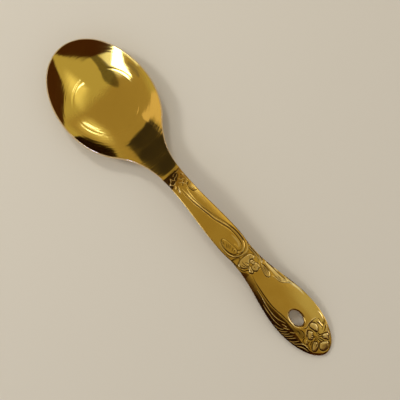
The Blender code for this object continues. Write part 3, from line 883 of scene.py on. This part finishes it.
grip, along, side = new_grid("struck_grip", GRIP_ROWS + TIP_ROWS, GRIP_COLUMNS)
row = np.rint(along * (GRIP_ROWS + TIP_ROWS))
bend = np.clip((row - GRIP_ROWS) / TIP_ROWS, 0, 1)
last = row > GRIP_ROWS + TIP_ROWS - 0.5
bend = np.where(last, 1, bend * (1 - EDGE_COLUMN / TIP_LENGTH) * TIP_ROWS / (TIP_ROWS - 1))
straight_x = WAIST + np.clip(row / GRIP_ROWS, 0, 1) * (GRIP - WAIST)
straight_y = spread(side, GRIP_COLUMNS, half_width(straight_x))
beside = straight_y / (GRIP_WIDTH / 2)
in_tip = row > GRIP_ROWS
x = np.where(in_tip, GRIP + TIP_LENGTH * bend * np.sqrt(1 - beside**2 / 2), straight_x)
y = np.where(in_tip, straight_y * np.sqrt(1 - bend**2 / 2), straight_y)
set_attribute(grip, "rim", (np.abs(side) > EDGE_SHARE) | last)
dress_handle(grip, x, y, [WAIST])
print("grip faces:", len(grip.data.polygons))

# %% [markdown]
# ## The hanging hole
# The hole was punched through the finished handle. The grid could leave a gap for it, but that would have
# a stepped edge. The face has its lip already, so a Boolean with an oval cutter does what the punch did.

# %% Punch the hole
HOLE_SIDES, PUNCH_HEIGHT = 96, 40.0

bpy.ops.object.select_all(action="DESELECT")
bpy.ops.mesh.primitive_cylinder_add(vertices=HOLE_SIDES, radius=1, depth=1)
punch = bpy.context.object
punch.scale = (HOLE_LENGTH / 2 * MM, HOLE_WIDTH / 2 * MM, PUNCH_HEIGHT * MM)
punch.location = ((HOLE_CENTRE - MIDDLE) * MM, HOLE_SIDE_SHIFT * MM, 0)
bpy.ops.object.transform_apply(location=True, rotation=True, scale=True)
cut = grip.modifiers.new("hole", "BOOLEAN")
cut.object = punch
cut.operation = "DIFFERENCE"
cut.solver = "EXACT"
bpy.ops.object.select_all(action="DESELECT")
bpy.context.view_layer.objects.active = grip
grip.select_set(True)
bpy.ops.object.modifier_apply(modifier=cut.name)
bpy.data.objects.remove(punch)
bpy.ops.object.shade_smooth_by_angle(angle=CREASE_TURN)
print("grip faces with its hole:", len(grip.data.polygons))

# %% [markdown]
# ## Colours and nodes
# A colour is picked as an sRGB hex code, as paint programs show it, but shaders take linear values, so one
# function turns the code into those. Another adds a node with its settings and links, which keeps each
# material below a short list of what it is made of.

# %% Colour and node helpers
def linear(code):
    """An sRGB hex colour as the linear values that a shader takes."""
    parts = [int(code[n : n + 2], 16) / 255 for n in (1, 3, 5)]
    return [p / 12.92 if p <= 0.04045 else ((p + 0.055) / 1.055) ** 2.4 for p in parts] + [1]


def add(tree, kind, inputs=None, **settings):
    """A new node. An input that is a socket is linked, and any other is set as a value."""
    node = tree.nodes.new(kind)
    for name, value in settings.items():
        setattr(node, name, value)
    for socket, value in (inputs or {}).items():
        if isinstance(value, bpy.types.NodeSocket):
            tree.links.new(value, node.inputs[socket])
        else:
            node.inputs[socket].default_value = value
    return node


def new_material(name):
    """A new material, with its node tree and the shader in that."""
    material = bpy.data.materials.new(name)
    material.use_nodes = True
    return material, material.node_tree, material.node_tree.nodes["Principled BSDF"]


print("mid grey as a linear value:", round(linear("#808080")[0], 3))

# %% [markdown]
# ## The mirror-polished coat
# The coat is a thin hard gold-coloured film on stainless steel. On the bowl it lies over a mirror polish.
# Polishing and wiping leave hairlines that run round the bowl, and these pull the edges of a reflection out
# into fine streaks. Straight scratches would look brushed, so the noise reads the distance from the bowl's
# middle and the angle round it.

# %% Mirror-polished coat
# Clear, deep reflections, streaked in hazy patches, and a pale painted highlight along the rim. Real
# hairlines are a twentieth of a millimetre wide, too fine to show, so they are drawn coarser.
HAZE_MM, HAIRLINE_MM, HAIRLINE_DEPTH, HAIRLINES_ROUND = 12.0, 1.1, 0.045, 10.0
COAT, RIM_HIGHLIGHT_COAT = linear("#D8B547"), linear("#E2C99A")

polished, tree, shader = new_material("gold_coat_mirror_polished")
where = add(tree, "ShaderNodeTexCoord").outputs["Object"]
bowl_middle = ((BOWL_CENTRE - MIDDLE) * MM, 0, 0)
settings = {"Vector": where, "Location": bowl_middle}
centred = add(tree, "ShaderNodeMapping", settings, vector_type="TEXTURE").outputs[0]
outward = add(tree, "ShaderNodeVectorMath", {0: centred}, operation="LENGTH").outputs["Value"]
around = add(tree, "ShaderNodeTexGradient", {"Vector": centred}, gradient_type="RADIAL").outputs["Fac"]
polar = add(tree, "ShaderNodeCombineXYZ", {"X": outward, "Y": around}).outputs[0]
settings = {"Vector": polar, "Scale": (1 / (HAIRLINE_MM * MM), HAIRLINES_ROUND, 1)}
drawn = add(tree, "ShaderNodeMapping", settings).outputs[0]
hairlines = add(tree, "ShaderNodeTexNoise", {"Vector": drawn, "Scale": 1.0}).outputs["Fac"]
haze = add(tree, "ShaderNodeTexNoise", {"Vector": where, "Scale": 1 / (HAZE_MM * MM)}).outputs["Fac"]
settings = {"Value": haze, "From Min": 0.38, "From Max": 0.62}
patches = add(tree, "ShaderNodeMapRange", settings).outputs[0]
settings = {"Height": hairlines, "Strength": patches, "Distance": HAIRLINE_DEPTH * MM}
scratched = add(tree, "ShaderNodeBump", settings).outputs[0]
settings = {"Value": haze, "From Min": 0.35, "From Max": 0.65, "To Min": 0.05, "To Max": 0.10}
dull = add(tree, "ShaderNodeMapRange", settings).outputs[0]
# Painted highlight along the rim.
rim_highlight = add(tree, "ShaderNodeAttribute", attribute_name="rim_highlight").outputs["Fac"]
settings = {"Factor": rim_highlight, "A": COAT, "B": RIM_HIGHLIGHT_COAT}
coat = add(tree, "ShaderNodeMix", settings, data_type="RGBA").outputs["Result"]
tree.links.new(coat, shader.inputs["Base Color"])
tree.links.new(dull, shader.inputs["Roughness"])
tree.links.new(scratched, shader.inputs["Normal"])
shader.inputs["Metallic"].default_value = 1.0
bowl.data.materials.append(polished)
print("material of the bowl and neck:", polished.name)

# %% [markdown]
# ## The satin coat
# On the handle the die leaves a satin face with a fine grain along it. The grooves are coloured darker,
# low fields carry painted shade, and ridges and edges carry painted highlights. All of these could be
# guessed from the mesh's curvature, but the drawing knows them, so the material reads them from the mesh.

# %% Satin coat
# Broad soft highlights, a tone that drifts between warm and pale, brown grooves and painted shade that draw
# the ornament, and painted highlights on the ridges. The grain is drawn coarser than the real one, so that
# it shows.
TONE_MM, GRAIN_MM, GRAIN_RUN, GRAIN_DEPTH = 16.0, 0.9, 8.0, 0.003
PALE_COAT, WARM_COAT = linear("#C09739"), linear("#AC7F23")
# Brown for the darker grooves and for painted shade, and pale cream for painted highlights.
GROOVE_AND_SHADE_BROWN, PAINTED_HIGHLIGHT_COAT = linear("#3F280D"), linear("#E9CA78")

satin, tree, shader = new_material("gold_coat_satin_struck")
where = add(tree, "ShaderNodeTexCoord").outputs["Object"]
tone = add(tree, "ShaderNodeTexNoise", {"Vector": where, "Scale": 1 / (TONE_MM * MM)}).outputs["Fac"]
recess = add(tree, "ShaderNodeAttribute", attribute_name="recess").outputs["Fac"]
painted_highlight = add(tree, "ShaderNodeAttribute", attribute_name="painted_highlight").outputs["Fac"]
coat = PALE_COAT
for share, other in ((tone, WARM_COAT), (recess, GROOVE_AND_SHADE_BROWN), (painted_highlight, PAINTED_HIGHLIGHT_COAT)):
    settings = {"Factor": share, "A": coat, "B": other}
    coat = add(tree, "ShaderNodeMix", settings, data_type="RGBA").outputs["Result"]
settings = {"Vector": where, "Scale": (GRAIN_RUN, 1, 1)}
along_handle = add(tree, "ShaderNodeMapping", settings, vector_type="TEXTURE").outputs[0]
settings = {"Vector": along_handle, "Scale": 1 / (GRAIN_MM * MM)}
grain = add(tree, "ShaderNodeTexNoise", settings).outputs["Fac"]
settings = {"Value": grain, "From Min": 0.3, "From Max": 0.7, "To Min": 0.12, "To Max": 0.18}
dull = add(tree, "ShaderNodeMapRange", settings).outputs[0]
settings = {"Height": grain, "Strength": 1.0, "Distance": GRAIN_DEPTH * MM}
grained = add(tree, "ShaderNodeBump", settings).outputs[0]
tree.links.new(coat, shader.inputs["Base Color"])
tree.links.new(dull, shader.inputs["Roughness"])
tree.links.new(grained, shader.inputs["Normal"])
shader.inputs["Metallic"].default_value = 1.0
stem.data.materials.append(satin)
grip.data.materials.append(satin)
print("material of the stem and grip:", satin.name)

# %% [markdown]
# ## Table and lamps
# The spoon lies on a plain pale table under an even world. Two soft lamps give it its shadow. They would
# show as hard discs in the polished bowl, so reflections don't see them, and cards take their place there.

# %% Table and lamps
FLOOR_SIZE, WORLD_LEVEL = 30.0, 0.62
STUDIO_CENTRE, LAMP_REACH = Vector((-0.07, 0, 0.005)), 1.1

bpy.ops.object.select_all(action="DESELECT")
bpy.ops.mesh.primitive_plane_add(size=FLOOR_SIZE)
floor = bpy.context.object
floor.name = "table"
# Matt paint: pale, warm and without gloss, so that it shows nothing but the spoon's soft shadow.
table_paint, tree, shader = new_material("table_matt_paint")
shader.inputs["Base Color"].default_value = linear("#CFC8B9")
shader.inputs["Roughness"].default_value = 0.9
floor.data.materials.append(table_paint)

world = bpy.data.worlds.new("studio")
bpy.context.scene.world = world
world.use_nodes = True
world.node_tree.nodes["Background"].inputs["Color"].default_value = linear("#FFF8EC")
world.node_tree.nodes["Background"].inputs["Strength"].default_value = WORLD_LEVEL


def toward(azimuth, elevation, reach):
    """A spot round the bowl, by its compass angle from +X and its height angle, in degrees."""
    azimuth, elevation = math.radians(azimuth), math.radians(elevation)
    level = Vector((math.cos(azimuth), math.sin(azimuth), 0)) * math.cos(elevation)
    return STUDIO_CENTRE + reach * (level + Vector((0, 0, math.sin(elevation))))


def studio_lamp(name, azimuth, elevation, size, level):
    """A soft lamp that lights the table. Its level is the share that it adds to a flat white card."""
    spot = toward(azimuth, elevation, LAMP_REACH)
    bpy.ops.object.light_add(type="AREA", location=spot)
    lamp = bpy.context.object
    lamp.name = name
    lamp.rotation_euler = (spot - STUDIO_CENTRE).to_track_quat("Z", "Y").to_euler()
    lamp.data.shape = "DISK"
    lamp.data.size = size * LAMP_REACH
    lamp.data.energy = level * 4 * math.pi * LAMP_REACH**2 / math.sin(math.radians(elevation))
    lamp.visible_glossy = False


studio_lamp("key_lamp", azimuth=215, elevation=42, size=0.22, level=0.16)
studio_lamp("fill_lamp", azimuth=165, elevation=50, size=0.18, level=0.13)
print("table of", FLOOR_SIZE, "m, lamps:", len(bpy.data.lights))

# %% [markdown]
# ## Cards for the reflections
# A mirror shows whatever stands round it, and in an even studio it looks flat. So cards with soft edges
# stand on a dome round the bowl, as a photographer sets lit panels and dark flags round polished metal.
# Bright cards give the highlights and dark ones the contrast. Only reflections see them, so they neither
# light nor shade the table. Their outlines were fitted so that the light and dark areas on the metal fall
# where the photograph has them.

# %% Card helper
CARD_REACH, CARD_STEPS, CARD_ROWS = 2.5, 48, 24


def studio_card(name, top, bottom, soft, colour, glow=0.0, cover=1.0, light="#FFFFFF", reach=CARD_REACH):
    """A soft-edged card. Its top is a curve of compass and height angles, its bottom a list of heights."""
    card, across, up = new_grid(name, CARD_STEPS, CARD_ROWS)
    edge = through(top)
    share = np.linspace(0, 1, len(edge))
    azimuth = np.interp(across, share, edge[:, 0])
    highest = np.interp(across, share, edge[:, 1])
    lowest = np.interp(across, np.linspace(0, 1, np.size(bottom)), np.atleast_1d(bottom))
    rise = (up + 1) / 2
    elevation = lowest + (highest - lowest) * rise
    for vertex, spot in zip(card.data.vertices, zip(azimuth, elevation)):
        vertex.co = toward(*spot, reach)
    wide = abs(edge[-1, 0] - edge[0, 0]) * np.cos(np.radians(elevation))
    from_side = np.minimum(across, 1 - across) * wide
    from_end = np.minimum(rise, 1 - rise) * np.abs(highest - lowest)
    set_attribute(card, "cover", cover * ease(from_side / soft) * ease(from_end / soft))
    # Matt card, or a lit diffuser cloth where it glows, that fades out towards its edges.
    matt, tree, shader = new_material("matt_card_" + name)
    shader.inputs["Base Color"].default_value = linear(colour)
    shader.inputs["Roughness"].default_value = 1.0
    shader.inputs["Specular IOR Level"].default_value = 0.0
    shader.inputs["Emission Color"].default_value = linear(light)
    shader.inputs["Emission Strength"].default_value = glow
    shown = add(tree, "ShaderNodeAttribute", attribute_name="cover").outputs["Fac"]
    clear = add(tree, "ShaderNodeBsdfTransparent").outputs[0]
    faded = add(tree, "ShaderNodeMixShader", {0: shown, 1: clear, 2: shader.outputs[0]}).outputs[0]
    tree.links.new(faded, tree.nodes["Material Output"].inputs["Surface"])
    card.data.materials.append(matt)
    card.visible_camera = card.visible_diffuse = card.visible_shadow = False


def count_cards():
    meshes = [each.data for each in bpy.data.objects if each.type == "MESH"]
    return sum("cover" in mesh.attributes for mesh in meshes)


print("points of a card:", (CARD_STEPS + 1) * (CARD_ROWS + 1))

# %% Bright cards
# Gold takes the blue out of what it reflects. Cool light comes back from it as cream and white, and warm
# light as orange.
COOL, PALE_COOL, WHITE, BLACK = "#96A8FF", "#DCE2FF", "#FFFFFF", "#000000"

studio_card(
    "warm_fill", [(90, 78), (130, 86), (180, 88), (228, 86), (258, 76), (274, 60)], 16,
    soft=12, colour="#F2E1DC", cover=0.8, reach=2.9,
)
studio_card(
    "key_glow", [(258, 54), (268, 58), (282, 58), (306, 50)], [38, 33, 18, 18],
    soft=9, colour=WHITE, glow=4, cover=0.6, light=COOL, reach=2.7,
)
studio_card(
    "key_strip", [(256, 21), (268, 24.5), (280, 26)], [18, 16, 12],
    soft=2, colour=WHITE, glow=5, light=COOL, reach=2.4,
)
studio_card(
    "grey_strip", [(247, 30), (254, 32.5), (261, 32.5), (268, 32)], [27, 23, 24, 28],
    soft=2, colour=BLACK, glow=0.75, cover=0.9, light="#A8A0B8", reach=2.4,
)
studio_card(
    "key_panel",
    [(248, 41.5), (256, 44), (263, 46), (269, 47.5), (274, 48.5), (278, 48.5), (281.5, 48), (285, 31)],
    [40, 36, 35, 34, 28, 20, 8, 8],
    soft=2.2, colour=WHITE, glow=20, light=COOL, reach=2.4,
)
studio_card(
    "near_glow", [(20, 82), (50, 86), (74, 87), (108, 82)], 46,
    soft=14, colour=WHITE, glow=1.3, cover=0.75, light=PALE_COOL, reach=2.7,
)
studio_card(
    "near_strip", [(72, 59), (66, 63), (60, 68), (54, 71), (46, 75), (34, 77)],
    [56.5, 59.5, 64, 67.5, 71.5, 74],
    soft=1.3, colour=WHITE, glow=14, light=COOL, reach=2.4,
)
studio_card(
    "far_glow", [(102, 54), (124, 57), (146, 54)], 24,
    soft=14, colour=WHITE, glow=1.2, cover=0.6, light=PALE_COOL, reach=2.7,
)
studio_card(
    "far_strip", [(110, 41), (124, 43), (136, 41)], [38.5, 39.5, 38.5],
    soft=1.6, colour=WHITE, glow=16, light=COOL, reach=2.4,
)
studio_card(
    "side_panel", [(208, 40), (214, 42), (221, 36), (228, 28), (236, 20)], [33, 30, 20, 10, 8],
    soft=2, colour=BLACK, glow=1.3, cover=0.9, light="#E0CFDC", reach=2.4,
)
# These two stand close by the grip, so the bowl doesn't show them.
studio_card(
    "grip_glow", [(2, 32), (15, 33), (28, 32)], 13,
    soft=6, colour=BLACK, glow=1.7, cover=0.75, light="#C4D2FF", reach=0.257,
)
studio_card(
    "grip_strip", [(20, 28), (32, 29), (44, 28)], 10,
    soft=4, colour=WHITE, glow=5.5, light="#C0C8FF", reach=0.4,
)
print("bright cards:", count_cards())

# %% Dark cards
BROWN = "#6A463E"

studio_card(
    "flag_left",
    [(24, 38), (34, 41.5), (48, 46), (60, 47.5), (70, 45.5), (80, 39), (90, 30), (98, 22), (105, 13)], -8,
    soft=1.5, colour=BROWN,
)
studio_card(
    "flag_right",
    [(-84, 18), (-76, 31), (-68, 40), (-57, 48), (-45, 53), (-32, 55.5), (-20, 55.5), (-8, 52.5),
     (4, 48.5), (12, 44), (19, 38)], -8,
    soft=1.5, colour=BROWN,
)
studio_card(
    "flag_small", [(112, 15), (117, 22), (124, 25), (131, 26), (138, 24), (146, 15)], -8,
    soft=1.5, colour="#33201C",
)
studio_card(
    "flag_end",
    [(152, 30), (158, 35.5), (165, 39), (172, 41), (180, 42.2), (190, 41.5), (200, 39), (208, 36.5),
     (214, 32)], 6,
    soft=1.2, colour="#56536A",
)
studio_card(
    "grey_scrim",
    [(241, 69), (252, 74), (266, 76), (282, 74), (296, 66), (308, 58), (320, 50)],
    [64, 59, 55, 50, 46, 43, 42],
    soft=3, colour="#5E5A5A", cover=0.75,
)
print("bright and dark cards:", count_cards())

# %% [markdown]
# ## Hand over to the frame
# Each dressed piece takes the place of its CAD nodes and rides on the one rigid body.

# %% Ride, replace and finish
for piece, nodes, slot in (
    (bowl, ("bowl", "neck"), "gold_polished"),
    (stem, ("stem",), "gold_satin"),
    (grip, ("grip",), "gold_satin"),
):
    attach(piece, "root")
    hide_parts(*nodes)

bpy.context.scene.view_settings.view_transform = "Standard"
